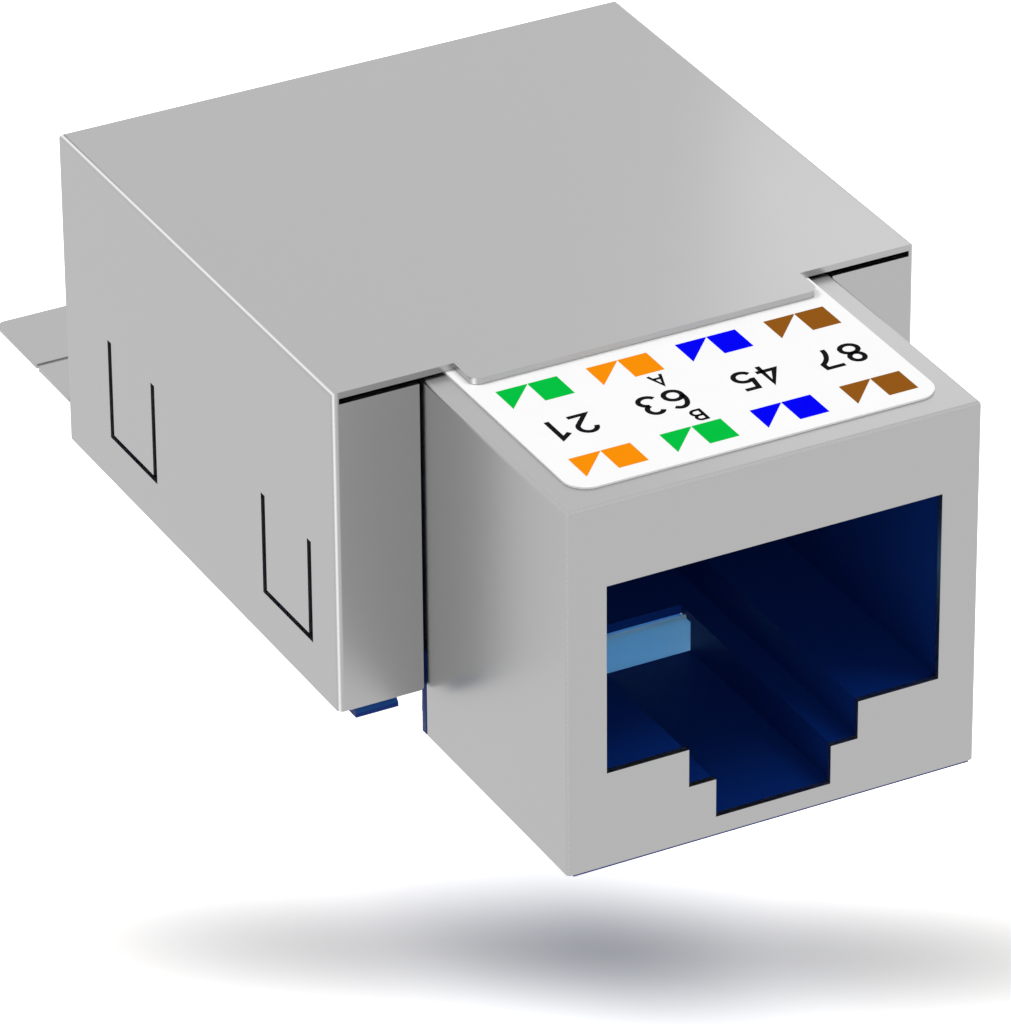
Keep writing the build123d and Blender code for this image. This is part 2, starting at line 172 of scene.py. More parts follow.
def stretched_noise(tree, scale_x, scale_y, scale_z, detail, roughness=0.5):
    """Noise on Object coordinates, stretched by a scale for each axis. Scales are sockets or numbers."""
    place = add(tree, "ShaderNodeTexCoord")
    scale = add(tree, "ShaderNodeCombineXYZ")
    for slot, value in enumerate((scale_x, scale_y, scale_z)):
        if isinstance(value, (int, float)):
            scale.inputs[slot].default_value = value
        else:
            tree.links.new(value, scale.inputs[slot])
    stretch = add(tree, "ShaderNodeVectorMath", operation="MULTIPLY")
    tree.links.new(place.outputs["Object"], stretch.inputs[0])
    tree.links.new(scale.outputs[0], stretch.inputs[1])
    noise = fill(add(tree, "ShaderNodeTexNoise"), Scale=1.0, Detail=detail, Roughness=roughness)
    tree.links.new(stretch.outputs[0], noise.inputs["Vector"])
    return noise.outputs["Fac"]


def make_rolled_grain():
    """Grain of rolled sheet: fine streaks along Y, from noise that is stretched along the rolling direction."""
    group, given, made = begin_group(
        "rolled_grain",
        {"Across": 9000.0, "Along": 700.0},
        {"Grain": "NodeSocketFloat"},
    )
    across, along = given.outputs["Across"], given.outputs["Along"]
    streaks = stretched_noise(group, across, along, across, 3.0, 0.6)
    group.links.new(streaks, made.inputs["Grain"])
    return group


# Mask for the painted highlights that tint bends and rounded edges lighter.
def make_bend_shine():
    """Mask of rounded edges: one less the largest part of the normal, which is zero on faces square to an axis."""
    group, given, made = begin_group(
        "bend_shine",
        {"Start": 0.03, "Full": 0.27},
        {"Mask": "NodeSocketFloat"},
    )
    place = add(group, "ShaderNodeTexCoord")
    size = add(group, "ShaderNodeVectorMath", operation="ABSOLUTE")
    group.links.new(place.outputs["Normal"], size.inputs[0])
    parts = add(group, "ShaderNodeSeparateXYZ")
    group.links.new(size.outputs[0], parts.inputs[0])
    largest = math_node(group, "MAXIMUM", parts.outputs[0], parts.outputs[1])
    largest = math_node(group, "MAXIMUM", largest, parts.outputs[2])
    slant = math_node(group, "SUBTRACT", 1.0, largest)
    rise = add(group, "ShaderNodeMapRange")
    group.links.new(slant, rise.inputs["Value"])
    group.links.new(given.outputs["Start"], rise.inputs["From Min"])
    group.links.new(given.outputs["Full"], rise.inputs["From Max"])
    group.links.new(rise.outputs[0], made.inputs["Mask"])
    return group


def make_handling():
    """Broad soft clouds and small specks, as fingers and storage leave on a surface."""
    group, given, made = begin_group(
        "handling",
        {"Cloud scale": 160.0, "Speck scale": 5000.0, "Speck share": 0.25},
        {"Marks": "NodeSocketFloat"},
    )
    cloud_scale, speck_scale = given.outputs["Cloud scale"], given.outputs["Speck scale"]
    clouds = stretched_noise(group, cloud_scale, cloud_scale, cloud_scale, 3.0)
    specks = stretched_noise(group, speck_scale, speck_scale, speck_scale, 2.0, 0.7)
    blend = add(group, "ShaderNodeMix", data_type="FLOAT")
    group.links.new(given.outputs["Speck share"], blend.inputs[0])
    group.links.new(clouds, blend.inputs[2])
    group.links.new(specks, blend.inputs[3])
    group.links.new(blend.outputs[0], made.inputs["Marks"])
    return group


def make_moulded_skin():
    """Skin of a moulding: the fine stipple of a spark-eroded tool over faint flow lines along Y."""
    group, given, made = begin_group(
        "moulded_skin",
        {"Stipple scale": 7000.0, "Flow share": 0.3},
        {"Height": "NodeSocketFloat"},
    )
    stipple_scale = given.outputs["Stipple scale"]
    stipple = stretched_noise(group, stipple_scale, stipple_scale, stipple_scale, 2.0)
    flow = stretched_noise(group, 900.0, 120.0, 900.0, 2.0)
    blend = add(group, "ShaderNodeMix", data_type="FLOAT")
    group.links.new(given.outputs["Flow share"], blend.inputs[0])
    group.links.new(stipple, blend.inputs[2])
    group.links.new(flow, blend.inputs[3])
    group.links.new(blend.outputs[0], made.inputs["Height"])
    return group


rolled_grain = make_rolled_grain()
bend_shine = make_bend_shine()
handling = make_handling()
moulded_skin = make_moulded_skin()


# Materials


def begin_material(name, metallic=0.0, specular=0.5, coat=0.0):
    """Start a material with its shader, whose plain values are set on its own sockets."""
    material = bpy.data.materials.new(name)
    material.use_nodes = True
    tree = material.node_tree
    shader = tree.nodes["Principled BSDF"]
    shader.inputs["Metallic"].default_value = metallic
    shader.inputs["Specular IOR Level"].default_value = specular
    shader.inputs["Coat Weight"].default_value = coat
    return material, tree, shader


def use(tree, group, **values):
    """Place a node group in a material with its own values, and give its first output."""
    node = add(tree, "ShaderNodeGroup", node_tree=group)
    fill(node, **values)
    return node.outputs[0]


def ramp(tree, value, low, high):
    """A number that goes from low to high as a value goes from 0 to 1."""
    node = fill(add(tree, "ShaderNodeMapRange"), To_Min=low, To_Max=high)
    tree.links.new(value, node.inputs["Value"])
    return node.outputs[0]


def tint(tree, value, low, high):
    """A colour that goes from low to high as a value goes from 0 to 1. Each end is a colour or a socket."""
    node = add(tree, "ShaderNodeMix", data_type="RGBA")
    tree.links.new(value, node.inputs[0])
    for slot, colour in ((6, low), (7, high)):
        if isinstance(colour, tuple):
            node.inputs[slot].default_value = (*colour, 1.0)
        else:
            tree.links.new(colour, node.inputs[slot])
    return node.outputs[2]


def roughen(tree, shader, height, strength, distance):
    """Turn a height into the shader's normal. The distance is the real depth of the relief."""
    bump = fill(add(tree, "ShaderNodeBump"), Strength=strength, Distance=distance)
    tree.links.new(height, bump.inputs["Height"])
    tree.links.new(bump.outputs[0], shader.inputs["Normal"])


def spread(value, share):
    """A colour's darker and lighter neighbour, a share away on each side."""
    return tuple(part * (1 - share) for part in value), tuple(min(1.0, part * (1 + share)) for part in value)


def make_sheet(name, colour, bend_highlight, shine_start):
    """Satin plated sheet: rolled grain, faint handling marks, and bends tinted lighter as a painted highlight."""
    material, tree, shader = begin_material(name, metallic=1.0)
    grain = use(tree, rolled_grain)
    marks = use(tree, handling, Speck_share=0.2)
    shine = use(tree, bend_shine, Start=shine_start)
    low, high = spread(colour, 0.035)
    body = tint(tree, ramp(tree, grain, 0.0, 1.0), low, high)
    worn = tint(tree, marks, body, tuple(part * 1.02 for part in colour))
    # Painted highlight: the bends get a lighter colour that stands in for the light they catch.
    tree.links.new(tint(tree, shine, worn, bend_highlight), shader.inputs["Base Color"])
    rough = math_node(tree, "ADD", ramp(tree, grain, 0.27, 0.35), ramp(tree, marks, -0.03, 0.03))
    rough = math_node(tree, "SUBTRACT", rough, math_node(tree, "MULTIPLY", shine, 0.05), clamp=True)
    tree.links.new(rough, shader.inputs["Roughness"])
    roughen(tree, shader, grain, 0.12, 0.003 * MM)
    return material


def make_plastic(name, colour, edge_highlight, roughness, specular=0.35, stipple=7000.0):
    """Moulded plastic: eroded-tool skin, faint flow lines, and rounded edges tinted lighter as a painted
    highlight.
    """
    material, tree, shader = begin_material(name, specular=specular)
    skin = use(tree, moulded_skin, Stipple_scale=stipple)
    marks = use(tree, handling)
    shine = use(tree, bend_shine)
    low, high = spread(colour, 0.10)
    body = tint(tree, marks, low, high)
    # Painted highlight: the shine mask tints rounded edges towards a lighter colour.
    tree.links.new(tint(tree, math_node(tree, "MULTIPLY", shine, 0.6), body, edge_highlight), shader.inputs["Base Color"])
    tree.links.new(ramp(tree, skin, roughness - 0.06, roughness + 0.06), shader.inputs["Roughness"])
    roughen(tree, shader, skin, 0.3, 0.006 * MM)
    return material


def make_clear_plastic(name, colour, edge_highlight, roughness):
    """Translucent moulded plastic: tinted light comes through it, blurred by the same skin."""
    material = make_plastic(name, colour, edge_highlight, roughness)
    shader = material.node_tree.nodes["Principled BSDF"]
    shader.inputs["Transmission Weight"].default_value = 0.85
    shader.inputs["IOR"].default_value = 1.5
    return material


def make_label_film():
    """White printed film with a faint fibre tone."""
    material, tree, shader = begin_material("label_film", specular=0.15)
    fibres = use(tree, handling, Cloud_scale=900.0, Speck_scale=9000.0, Speck_share=0.4)
    tree.links.new(tint(tree, fibres, (0.93, 0.93, 0.93), (0.98, 0.98, 0.98)), shader.inputs["Base Color"])
    tree.links.new(ramp(tree, fibres, 0.42, 0.55), shader.inputs["Roughness"])
    roughen(tree, shader, fibres, 0.2, 0.002 * MM)
    return material


def make_ink(name, colour):
    """Printing ink: a slightly uneven film with the paper's tooth."""
    material, tree, shader = begin_material("ink_" + name, specular=0.0)
    coverage = use(tree, handling, Cloud_scale=2500.0, Speck_scale=16000.0, Speck_share=0.5)
    low, high = spread(colour, 0.06)
    tree.links.new(tint(tree, coverage, low, high), shader.inputs["Base Color"])
    tree.links.new(ramp(tree, coverage, 0.50, 0.65), shader.inputs["Roughness"])
    return material


def make_board():
    """Circuit board: green mask over copper tracks on both faces, and bare woven laminate on the edges."""
    material, tree, shader = begin_material("board_laminate")
    place = add(tree, "ShaderNodeTexCoord")
    parts = add(tree, "ShaderNodeSeparateXYZ")
    tree.links.new(place.outputs["Normal"], parts.inputs[0])
    facing = math_node(tree, "GREATER_THAN", math_node(tree, "ABSOLUTE", parts.outputs[2]), 0.6)
    wave = fill(add(tree, "ShaderNodeTexWave"), Scale=155.0, Distortion=3.5, Detail=1.0, Detail_Scale=0.6)
    tree.links.new(place.outputs["Object"], wave.inputs["Vector"])
    tracks = math_node(tree, "GREATER_THAN", wave.outputs["Fac"], 0.72)
    weave = fill(add(tree, "ShaderNodeTexChecker"), Scale=9000.0)
    tree.links.new(place.outputs["Object"], weave.inputs["Vector"])
    mask = tint(tree, tracks, (0.012, 0.105, 0.030), (0.030, 0.190, 0.050))
    edge = tint(tree, weave.outputs["Fac"], (0.36, 0.31, 0.14), (0.45, 0.40, 0.20))
    tree.links.new(tint(tree, facing, edge, mask), shader.inputs["Base Color"])
    tree.links.new(ramp(tree, facing, 0.65, 0.22), shader.inputs["Roughness"])
    roughen(tree, shader, tracks, 0.5, 0.02 * MM)
    return material


def make_wire():
    """Spring wire: gold plating with fine drawing lines, and a painted highlight that makes it lighter where it is
    bent.
    """
    material, tree, shader = begin_material("contact_gold", metallic=1.0)
    grain = use(tree, rolled_grain, Across=16000.0, Along=900.0)
    shine = use(tree, bend_shine)
    low, high = spread((0.86, 0.56, 0.17), 0.05)
    body = tint(tree, grain, low, high)
    # Painted highlight: the shine mask tints the bends to a lighter gold.
    tree.links.new(tint(tree, shine, body, (0.95, 0.68, 0.30)), shader.inputs["Base Color"])
    tree.links.new(ramp(tree, grain, 0.16, 0.28), shader.inputs["Roughness"])
    roughen(tree, shader, grain, 0.2, 0.002 * MM)
    return material


def make_tin(name, colour):
    """Tin plating and solder: bright, clouded and slightly uneven."""
    material, tree, shader = begin_material(name, metallic=1.0)
    clouds = use(tree, handling, Cloud_scale=1500.0, Speck_scale=9000.0, Speck_share=0.3)
    shine = use(tree, bend_shine)
    low, high = spread(colour, 0.08)
    body = tint(tree, clouds, low, high)
    # Painted highlight: the shine mask tints bends and rounds lighter.
    tree.links.new(tint(tree, shine, body, (0.86, 0.85, 0.82)), shader.inputs["Base Color"])
    tree.links.new(ramp(tree, clouds, 0.22, 0.42), shader.inputs["Roughness"])
    roughen(tree, shader, clouds, 0.3, 0.004 * MM)
    return material


SHEET_GREY = (0.463, 0.463, 0.463)
# The third value is the colour of the painted highlight on bends: strong on the cover, faint on the shell.
cover_sheet = make_sheet("cover_sheet", SHEET_GREY, (0.92, 0.92, 0.92), 0.10)
shell_sheet = make_sheet("shell_sheet", SHEET_GREY, (0.50, 0.50, 0.50), 0.12)
# The third colour of each moulding is its painted highlight on rounded edges.
housing_blue = make_plastic("housing_blue", (0.002, 0.024, 0.175), (0.020, 0.100, 0.340), 0.42, 0.12)
comb_blue = make_plastic("comb_blue", (0.002, 0.022, 0.155), (0.015, 0.080, 0.300), 0.44, 0.12)
latch_blue = make_clear_plastic("latch_blue", (0.155, 0.510, 0.950), (0.205, 0.570, 0.970), 0.55)
pane_blue = make_clear_plastic("pane_blue", (0.50, 0.84, 1.00), (0.55, 0.86, 1.00), 0.30)
block_white = make_plastic("block_white", (0.74, 0.73, 0.68), (0.84, 0.83, 0.79), 0.42, 0.5)
cap_white = make_plastic("cap_white", (0.78, 0.77, 0.73), (0.86, 0.85, 0.82), 0.40, 0.5)
label_film = make_label_film()
board_laminate = make_board()
contact_gold = make_wire()
terminal_tin = make_tin("terminal_tin", (0.70, 0.69, 0.66))
solder_tin = make_tin("solder_tin", (0.66, 0.66, 0.65))


# Finish of the CAD nodes


def make_shade_by_angle(limit):
    """Geometry nodes that shade faces smooth and keep edges sharper than a limit, in degrees."""
    group = bpy.data.node_groups.new("shade_by_angle", "GeometryNodeTree")
    for way in ("INPUT", "OUTPUT"):
        group.interface.new_socket("Geometry", in_out=way, socket_type="NodeSocketGeometry")
    given = group.nodes.new("NodeGroupInput")
    made = group.nodes.new("NodeGroupOutput")
    angle = add(group, "GeometryNodeInputMeshEdgeAngle")
    gentle = add(group, "FunctionNodeCompare", operation="LESS_THAN")
    gentle.inputs["B"].default_value = math.radians(limit)
    faces = add(group, "GeometryNodeSetShadeSmooth", domain="FACE")
    edges = add(group, "GeometryNodeSetShadeSmooth", domain="EDGE")
    group.links.new(angle.outputs["Unsigned Angle"], gentle.inputs["A"])
    group.links.new(given.outputs[0], faces.inputs["Geometry"])
    group.links.new(faces.outputs[0], edges.inputs["Geometry"])
    group.links.new(gentle.outputs[0], edges.inputs["Shade Smooth"])
    group.links.new(edges.outputs[0], made.inputs[0])
    return group


shade_by_angle = make_shade_by_angle(35.0)


def dress(node, material, edge_radius, segments=2):
    """Give a CAD node its material, with its triangles joined, its edges broken and its rounds shaded smooth."""
    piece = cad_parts[node]
    piece.data.materials.clear()
    piece.data.materials.append(material)
    weld = piece.modifiers.new("join", "WELD")
    weld.merge_threshold = WELD_DISTANCE
    flat = piece.modifiers.new("flatten", "DECIMATE")
    flat.decimate_type = "DISSOLVE"
    flat.angle_limit = math.radians(0.5)
    if edge_radius:
        edge = piece.modifiers.new("edges", "BEVEL")
        edge.width = edge_radius
        edge.segments = segments
        edge.limit_method = "ANGLE"
        edge.angle_limit = math.radians(40)
    smooth = piece.modifiers.new("smooth", "NODES")
    smooth.node_group = shade_by_angle
    even = piece.modifiers.new("even", "WEIGHTED_NORMAL")
    even.weight = 100
    even.keep_sharp = True


dress("front_shell", shell_sheet, 0)
dress("rear_cover", cover_sheet, 0)
dress("base_plate", cover_sheet, 0.03 * MM)
dress("label", label_film, 0)
dress("jack_housing", housing_blue, 0.05 * MM)
dress("contact_comb", comb_blue, 0.04 * MM)
dress("panel_latch", latch_blue, 0.06 * MM)
dress("terminal_block", block_white, 0.06 * MM)
dress("wire_cap", cap_white, 0.06 * MM)
dress("circuit_board", board_laminate, 0.02 * MM)
for index in range(8):
    dress(f"contact_{index + 1}", contact_gold, 0.07 * MM)
    dress(f"terminal_{index + 1}", terminal_tin, 0.04 * MM)


# Print on the label

label_low, label_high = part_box("label")
print_corner = Vector((label_high.x, label_low.y, label_high.z))


def add_piece(name, mesh, material, body):
    """Link a mesh as a piece that rides on a body, with its place in its mesh."""
    piece = bpy.data.objects.new(name, mesh)
    bpy.context.scene.collection.objects.link(piece)
    mesh.materials.append(material)
    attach(piece, body)
    return piece


def close_and_smooth(piece):
    """Close the ends of a turned piece, where its rings shrink to a point, and shade its rounds smooth."""
    piece.modifiers.new("close", "WELD").merge_threshold = WELD_DISTANCE
    piece.modifiers.new("smooth", "NODES").node_group = shade_by_angle


def on_label(points):
    """Points on the print, in millimetres across and down as it is read, to points on the label's face."""
    points = np.asarray(points, float) * MM
    return np.column_stack((
        print_corner.x - points[:, 0],
        print_corner.y + points[:, 1],
        np.full(len(points), print_corner.z + INK_THICKNESS),
    ))


def thicken_ink(piece):
    """Give the print its film thickness, down to the label's face."""
    film = piece.modifiers.new("film", "SOLIDIFY")
    film.thickness = INK_THICKNESS
    film.offset = -1


def patch_grid(corner, width, low_side, high_side, steps=5):
    """A patch whose point (u, v) is u widths across, and v heights up from its foot, where the height goes
    evenly from low_side to high_side. Its foot is straight, so a low side of zero makes a right triangle."""
    u, v = np.meshgrid(np.linspace(0, 1, steps), np.linspace(0, 1, steps), indexing="ij")
    height = low_side + (high_side - low_side) * u
    across = corner[0] + width * u
    down = corner[1] + max(low_side, high_side) - height * v
    return np.column_stack((across.ravel(), down.ravel()))


def grid_faces(rows, columns, start=0):
    """Quads of a grid of rows by columns, counted from a start."""
    i, j = np.meshgrid(np.arange(rows - 1), np.arange(columns - 1), indexing="ij")
    first = (start + i * columns + j).ravel()
    return np.column_stack((first, first + columns, first + columns + 1, first + 1))


def ring_faces(rings, sides, start):
    """Quads between closed rings of points, counted from a start."""
    i, j = np.meshgrid(np.arange(rings - 1), np.arange(sides), indexing="ij")
    first = start + i * sides + j
    second = start + i * sides + (j + 1) % sides
    return np.column_stack((first.ravel(), second.ravel(), (second + sides).ravel(), (first + sides).ravel()))


def make_pair_marks(colour):
    """The solid square and the half-filled triangle of one wire pair, in both rows of the print."""
    points, faces, count = [], [], 0
    for row_start, row in zip(ROW_STARTS, ROW_COLOURS):
        column = COLUMN_STARTS[row.index(colour)]
        width, height = SQUARE_SIZE
        patches = (
            patch_grid((column, row_start), width, height, height),
            patch_grid((column + TRIANGLE_START, row_start), TRIANGLE_WIDTH, TRIANGLE_LOW_SIDE, height),
        )
        for patch in patches:
            points.append(patch)
            faces.append(grid_faces(5, 5, count))
            count += len(patch)
    mesh = bpy.data.meshes.new("pair_mark_" + colour)
    mesh.from_pydata(on_label(np.vstack(points)).tolist(), [], np.vstack(faces).tolist())
    mesh.update()
    thicken_ink(add_piece("pair_mark_" + colour, mesh, make_ink(colour, INK_COLOURS[colour]), "jack"))


def line(*points):
    """A straight-sided path through points."""
    return np.array(points, float)


def arc(centre, radii, start, end, steps=20):
    """Part of an ellipse: its centre plus its radii times the cosine and sine of an angle, in degrees, that goes
    evenly from a start to an end."""
    angle = np.radians(np.linspace(start, end, steps))
    return np.column_stack((centre[0] + radii[0] * np.cos(angle), centre[1] + radii[1] * np.sin(angle)))


def join(*paths):
    """One path through several, without the points that repeat the one before."""
    path = np.vstack(paths)
    keep = np.append(True, np.hypot(*np.diff(path, axis=0).T) > 0.005)
    return path[keep]


# Pen strokes of each character, on a height of one with the foot at zero
STROKES = {
    "1": [line((0.13, 0.73), (0.40, 0.93), (0.40, 0.0))],
    "2": [join(arc((0.31, 0.675), (0.235, 0.255), 172, -38), line((0.08, 0.07), (0.57, 0.07)))],
    "3": [arc((0.30, 0.715), (0.20, 0.215), 155, -80), arc((0.30, 0.285), (0.24, 0.22), 80, -155)],
    "4": [line((0.61, 0.27), (0.09, 0.27), (0.44, 0.90), (0.44, 0.0))],
    "5": [join(line((0.54, 0.93), (0.17, 0.93), (0.11, 0.50)), arc((0.30, 0.31), (0.24, 0.24), 128, -155))],
    "6": [arc((0.31, 0.30), (0.235, 0.235), 0, 360), arc((0.36, 0.47), (0.285, 0.46), 55, 192)],
    "7": [join(line((0.06, 0.93), (0.55, 0.93)), arc((0.95, 0.02), (0.73, 0.80), 122, 180))],
    "8": [arc((0.31, 0.725), (0.19, 0.205), 0, 360), arc((0.31, 0.285), (0.24, 0.22), 0, 360)],
    "A": [line((0.02, 0.0), (0.33, 0.95), (0.64, 0.0)), line((0.14, 0.32), (0.52, 0.32))],
    "B": [
        join(line((0.08, 0.93), (0.34, 0.93)), arc((0.34, 0.73), (0.18, 0.20), 90, -90), line((0.08, 0.53))),
        join(line((0.08, 0.53), (0.36, 0.53)), arc((0.36, 0.30), (0.20, 0.23), 90, -90), line((0.08, 0.07))),
        line((0.08, 0.0), (0.08, 1.0)),
    ],
}


def pen_stroke(path, weight):
    """A flat band carried along a path: each point gives two, half a weight to its right and to its left, square
    to the mean of the directions into it and out of it, and further out at a corner so that the sides meet."""
    step = np.diff(path, axis=0)
    step /= np.hypot(*step.T)[:, None]
    into, out = np.vstack((step[:1], step)), np.vstack((step, step[-1:]))
    left_in = np.column_stack((-into[:, 1], into[:, 0]))
    left = left_in + np.column_stack((-out[:, 1], out[:, 0]))
    left /= np.hypot(*left.T)[:, None]
    reach = weight / 2 / np.maximum(0.45, (left * left_in).sum(1))
    side = left * reach[:, None]
    return np.stack((path - side, path + side), axis=1).reshape(-1, 2)


def make_print(name, words, height, weight, advance):
    """Black print: the strokes of each word's characters, from its upper left corner as it is read."""
    points, faces, count = [], [], 0
    for word, corner in words.items():
        for place, character in enumerate(word):
            for path in STROKES[character]:
                stroke = pen_stroke(path * height, weight)
                across = corner[0] + place * advance + stroke[:, 0]
                down = corner[1] + height - stroke[:, 1]
                points.append(np.column_stack((across, down)))
                faces.append(grid_faces(len(path), 2, count))
                count += len(stroke)
    mesh = bpy.data.meshes.new(name)
    mesh.from_pydata(on_label(np.vstack(points)).tolist(), [], np.vstack(faces).tolist())
    mesh.update()
    thicken_ink(add_piece(name, mesh, ink_black, "jack"))


ink_black = make_ink("black", INK_COLOURS["black"])
for colour in ROW_COLOURS[0]:
    make_pair_marks(colour)
make_print("pin_numbers", PIN_NUMBERS, NUMBER_HEIGHT, NUMBER_WEIGHT, NUMBER_STEP)
make_print("row_letters", ROW_LETTERS, LETTER_HEIGHT, LETTER_WEIGHT, 0.0)


# Clear bars: the lip at the end of the latch's finger tail and the pane behind the slot for the plug's latch


def rounded_bar(centre, half_width, radii):
    """A bar across the jack with domed ends: at share s of its half width, its oval section is the radii times
    the fourth root of one less the fourth power of s, so that the ends close to a point."""
    share = np.sin(np.linspace(-math.pi / 2, math.pi / 2, BAR_STEPS))
    angle = np.linspace(0, 2 * math.pi, BAR_TURNS, endpoint=False)
    size = (1 - share ** 4) ** 0.25
    return np.stack((
        np.repeat((centre[0] + half_width * share)[:, None], BAR_TURNS, 1),
        centre[1] + np.outer(size, radii[0] * np.cos(angle)),
        centre[2] + np.outer(size, radii[1] * np.sin(angle)),
    ), axis=-1).reshape(-1, 3)


def make_clear_bar(name, centre, half_width, radii, material, body):
    """A rounded bar of clear plastic that rides on a body."""
    mesh = bpy.data.meshes.new(name)
    points = rounded_bar(centre, half_width, radii)
    mesh.from_pydata(points.tolist(), [], ring_faces(BAR_STEPS, BAR_TURNS, 0).tolist())
    mesh.update()
    piece = add_piece(name, mesh, material, body)
    close_and_smooth(piece)


# Solder on the board


def solder_fillet(centre, level, way):
    """A fillet turned about a pin: at height share t its radius is the neck plus the rest of the pad
    times (1 - t) squared, and it closes to a point above and below."""
    t = np.linspace(0, 1, SOLDER_STEPS)
    radius = np.concatenate(([0.0], SOLDER_NECK + (SOLDER_PAD - SOLDER_NECK) * (1 - t) ** 2, [0.0]))
    height = np.concatenate(([0.0], t * SOLDER_HEIGHT, [SOLDER_HEIGHT]))
    angle = np.linspace(0, 2 * math.pi, SOLDER_SIDES, endpoint=False) * way
    points = np.stack((
        centre[0] + np.outer(radius, np.cos(angle)),
        centre[1] + np.outer(radius, np.sin(angle)),
        np.repeat((level + way * height)[:, None], SOLDER_SIDES, 1),
    ), axis=-1)
    return points.reshape(-1, 3)


def pin_centre(node):
    """Where a contact or a terminal goes through the board: the middle of its lowest points."""
    points = np.array([vertex.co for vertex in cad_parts[node].data.vertices])
    lowest = points[points[:, 2] < points[:, 2].min() + 0.05 * MM]
    return lowest.min(0)[:2] / 2 + lowest.max(0)[:2] / 2


def make_solder():
    """Solder on every pin under the board, and on the contact legs above it."""
    board_low, board_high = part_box("circuit_board")
    points, faces, count = [], [], 0
    places = []
    for index in range(8):
        leg = pin_centre(f"contact_{index + 1}")
        places += [(leg, board_high.z, 1), (leg, board_low.z, -1)]
        places.append((pin_centre(f"terminal_{index + 1}"), board_low.z, -1))
    for centre, level, way in places:
        fillet = solder_fillet(centre, level, way)
        points.append(fillet)
        faces.append(ring_faces(SOLDER_STEPS + 2, SOLDER_SIDES, count))
        count += len(fillet)
    mesh = bpy.data.meshes.new("solder_joints")
    mesh.from_pydata(np.vstack(points).tolist(), [], np.vstack(faces).tolist())
    mesh.update()
    piece = add_piece("solder_joints", mesh, solder_tin, "jack")
    close_and_smooth(piece)


latch_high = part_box("panel_latch")[1]
lip_centre = (0.0, latch_high.y - LIP_RADII[0], LIP_LEVEL)
make_clear_bar("tail_lip", lip_centre, latch_high.x - LIP_INSET, LIP_RADII, latch_blue, "latch")
make_clear_bar("slot_pane", PANE_CENTRE, PANE_HALF_WIDTH, PANE_RADII, pane_blue, "jack")
make_solder()


# Studio


def glow_round_shadow(tree):
    """How much the paper floor glows at a place: a painted glow, which no lamp gives and which washes out the real
    shadow. It is least in the middle of the shadow and goes smoothly up to full white at its edge, so that the
    shadow is the flat band of the photograph. Where a and b are the ways from the middle along and across the
    band, as shares of its reach, the rise follows the square root of a to the fourth plus b squared."""
    turn = math.radians(CAMERA_AZIMUTH + SHADOW_TURN)
    ways = (Vector((math.cos(turn), math.sin(turn), 0)), Vector((-math.sin(turn), math.cos(turn), 0)))
    place = add(tree, "ShaderNodeTexCoord")
    shares = []
    for way, middle, reach, power in zip(ways, SHADOW_MIDDLE, SHADOW_REACH, (4, 2)):
        measure = add(tree, "ShaderNodeVectorMath", operation="DOT_PRODUCT")
        measure.inputs[1].default_value = way / reach
        tree.links.new(place.outputs["Object"], measure.inputs[0])
        off = math_node(tree, "SUBTRACT", measure.outputs["Value"], (CAMERA_AIM.dot(way) + middle) / reach)
        shares.append(math_node(tree, "POWER", math_node(tree, "ABSOLUTE", off), power))
    rise = fill(add(tree, "ShaderNodeMapRange", interpolation_type="SMOOTHSTEP"), To_Min=FLOOR_GLOW, To_Max=1.0)
    tree.links.new(math_node(tree, "SQRT", math_node(tree, "ADD", *shares)), rise.inputs["Value"])
    return rise.outputs[0]


def make_floor():
    """A plain pale floor below the jack, which floats over its soft shadow as in the photograph. It glows to
    the camera alone, is plain white to a reflection, as the sky is, and doesn't hide the jack from below."""
    low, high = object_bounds()
    level = low.z - FLOOR_GAP
    ring = np.linspace(0, 2 * math.pi, 96, endpoint=False)
    points = np.column_stack((FLOOR_REACH * np.cos(ring), FLOOR_REACH * np.sin(ring), np.full(96, level)))
    mesh = bpy.data.meshes.new("floor")
    mesh.from_pydata(points.tolist(), [], [list(range(96))])
    floor = bpy.data.objects.new("floor", mesh)
    bpy.context.scene.collection.objects.link(floor)
    material, tree, shader = begin_material("floor_paper", specular=0.0)
    tone = use(tree, handling, Cloud_scale=4.0, Speck_scale=900.0, Speck_share=0.1)
    tree.links.new(tint(tree, tone, *spread(FLOOR_WHITE, 0.01)), shader.inputs["Base Color"])
    shader.inputs["Roughness"].default_value = 0.9
    rays = add(tree, "ShaderNodeLightPath")
    # Painted glow: to the camera the floor glows, fully outside the oval, so its real shadow is washed out there.
    # It lights nothing.
    seen = math_node(tree, "MULTIPLY", rays.outputs["Is Camera Ray"], glow_round_shadow(tree))
    tree.links.new(seen, shader.inputs["Emission Strength"])
    shader.inputs["Emission Color"].default_value = (1, 1, 1, 1)
    mirrored = math_node(tree, "MAXIMUM", rays.outputs["Is Glossy Ray"], rays.outputs["Is Transmission Ray"])
    blend = add(tree, "ShaderNodeMixShader")
    tree.links.new(mirrored, blend.inputs[0])
    tree.links.new(shader.outputs[0], blend.inputs[1])
    tree.links.new(add(tree, "ShaderNodeEmission").outputs[0], blend.inputs[2])
    underneath = math_node(tree, "MULTIPLY", add(tree, "ShaderNodeNewGeometry").outputs["Backfacing"],
                           rays.outputs["Is Camera Ray"])
    clear = add(tree, "ShaderNodeMixShader")
    tree.links.new(underneath, clear.inputs[0])
    tree.links.new(blend.outputs[0], clear.inputs[1])
    tree.links.new(add(tree, "ShaderNodeBsdfTransparent").outputs[0], clear.inputs[2])
    tree.links.new(clear.outputs[0], tree.nodes["Material Output"].inputs["Surface"])
    mesh.materials.append(material)


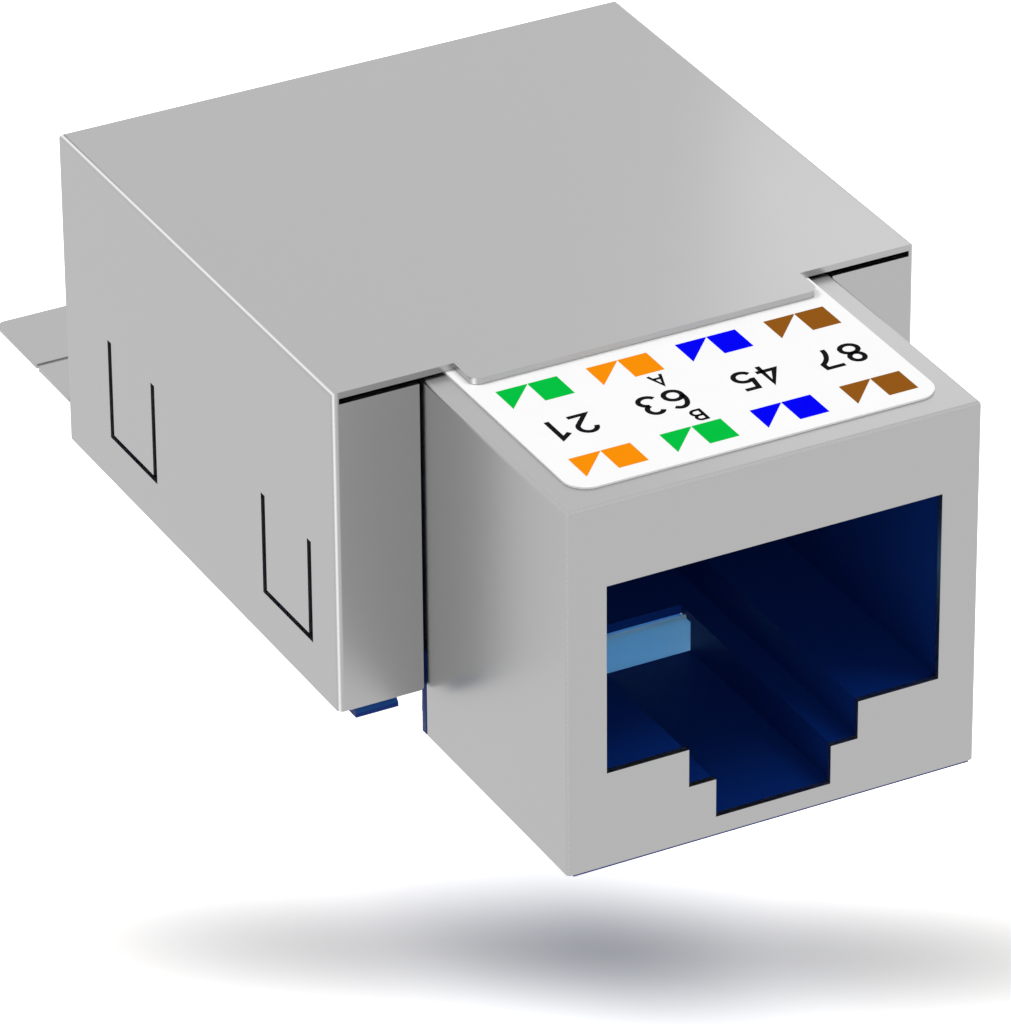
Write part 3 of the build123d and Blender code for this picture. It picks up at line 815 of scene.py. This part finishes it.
def make_sky():
    """A white surround: plain white where the camera or a reflection sees it, a little dimmer as a light."""
    world = bpy.data.worlds.new("studio")
    world.use_nodes = True
    bpy.context.scene.world = world
    tree = world.node_tree
    sky = tree.nodes["Background"]
    sky.inputs["Color"].default_value = (1, 1, 1, 1)
    rays = add(tree, "ShaderNodeLightPath")
    seen = math_node(tree, "MAXIMUM", rays.outputs["Is Camera Ray"], rays.outputs["Is Glossy Ray"])
    seen = math_node(tree, "MAXIMUM", seen, rays.outputs["Is Transmission Ray"])
    tree.links.new(ramp(tree, seen, SKY_STRENGTH, 1.0), sky.inputs["Strength"])


def make_lamp(name, direction, distance, size, radiance, target, sheen=False):
    """A square soft lamp that faces a target and doesn't show itself. Its radiance is set against the white of
    the surround. It either lights the matt surfaces, or only lays a soft sheen on the sheet metal."""
    light = bpy.data.lights.new(name, "AREA")
    light.shape = "SQUARE"
    light.size = size
    light.energy = radiance * math.pi * size * size
    lamp = bpy.data.objects.new(name, light)
    bpy.context.scene.collection.objects.link(lamp)
    way = Vector(direction).normalized()
    lamp.location = target + way * distance
    lamp.rotation_mode = "QUATERNION"
    lamp.rotation_quaternion = way.to_track_quat("Z", "Y")
    lamp.visible_camera = False
    lamp.visible_glossy = sheen
    lamp.visible_diffuse = not sheen
    lamp.visible_transmission = not sheen


def make_camera():
    """The camera of the photograph, from its azimuth, elevation, roll, distance and aim."""
    azimuth, elevation = math.radians(CAMERA_AZIMUTH), math.radians(CAMERA_ELEVATION)
    back = Vector((
        math.sin(azimuth) * math.cos(elevation),
        -math.cos(azimuth) * math.cos(elevation),
        math.sin(elevation),
    ))
    right = Vector((math.cos(azimuth), math.sin(azimuth), 0))
    upright = back.cross(right)
    level = Matrix((right, upright, back)).transposed()
    data = bpy.data.cameras.new("camera")
    data.lens = CAMERA_LENS
    data.sensor_width = CAMERA_SENSOR
    data.clip_start, data.clip_end = CAMERA_CLIP
    camera = bpy.data.objects.new("camera", data)
    bpy.context.scene.collection.objects.link(camera)
    camera.rotation_mode = "QUATERNION"
    camera.rotation_quaternion = (level @ Matrix.Rotation(math.radians(CAMERA_ROLL), 3, "Z")).to_quaternion()
    camera.location = CAMERA_AIM + back * CAMERA_DISTANCE
    bpy.context.scene.camera = camera


make_floor()
make_sky()
make_lamp("key_left", (-0.50, 0.24, 0.83), LAMP_DISTANCE, KEY_SIZE, 8.8, CAMERA_AIM)
make_lamp("key_right", (0.38, -0.22, 0.90), LAMP_DISTANCE, KEY_SIZE, 6.2, CAMERA_AIM)
make_lamp("front_fill", (-0.20, -0.85, 0.38), LAMP_DISTANCE, FILL_SIZE, 5.0, CAMERA_AIM)
make_lamp("top_sheen", (0.40, 0.77, 0.50), SHEEN_DISTANCE, SHEEN_SIZE, 0.36, SHEEN_TARGET, sheen=True)
make_camera()
bpy.context.scene.view_settings.view_transform = "Standard"
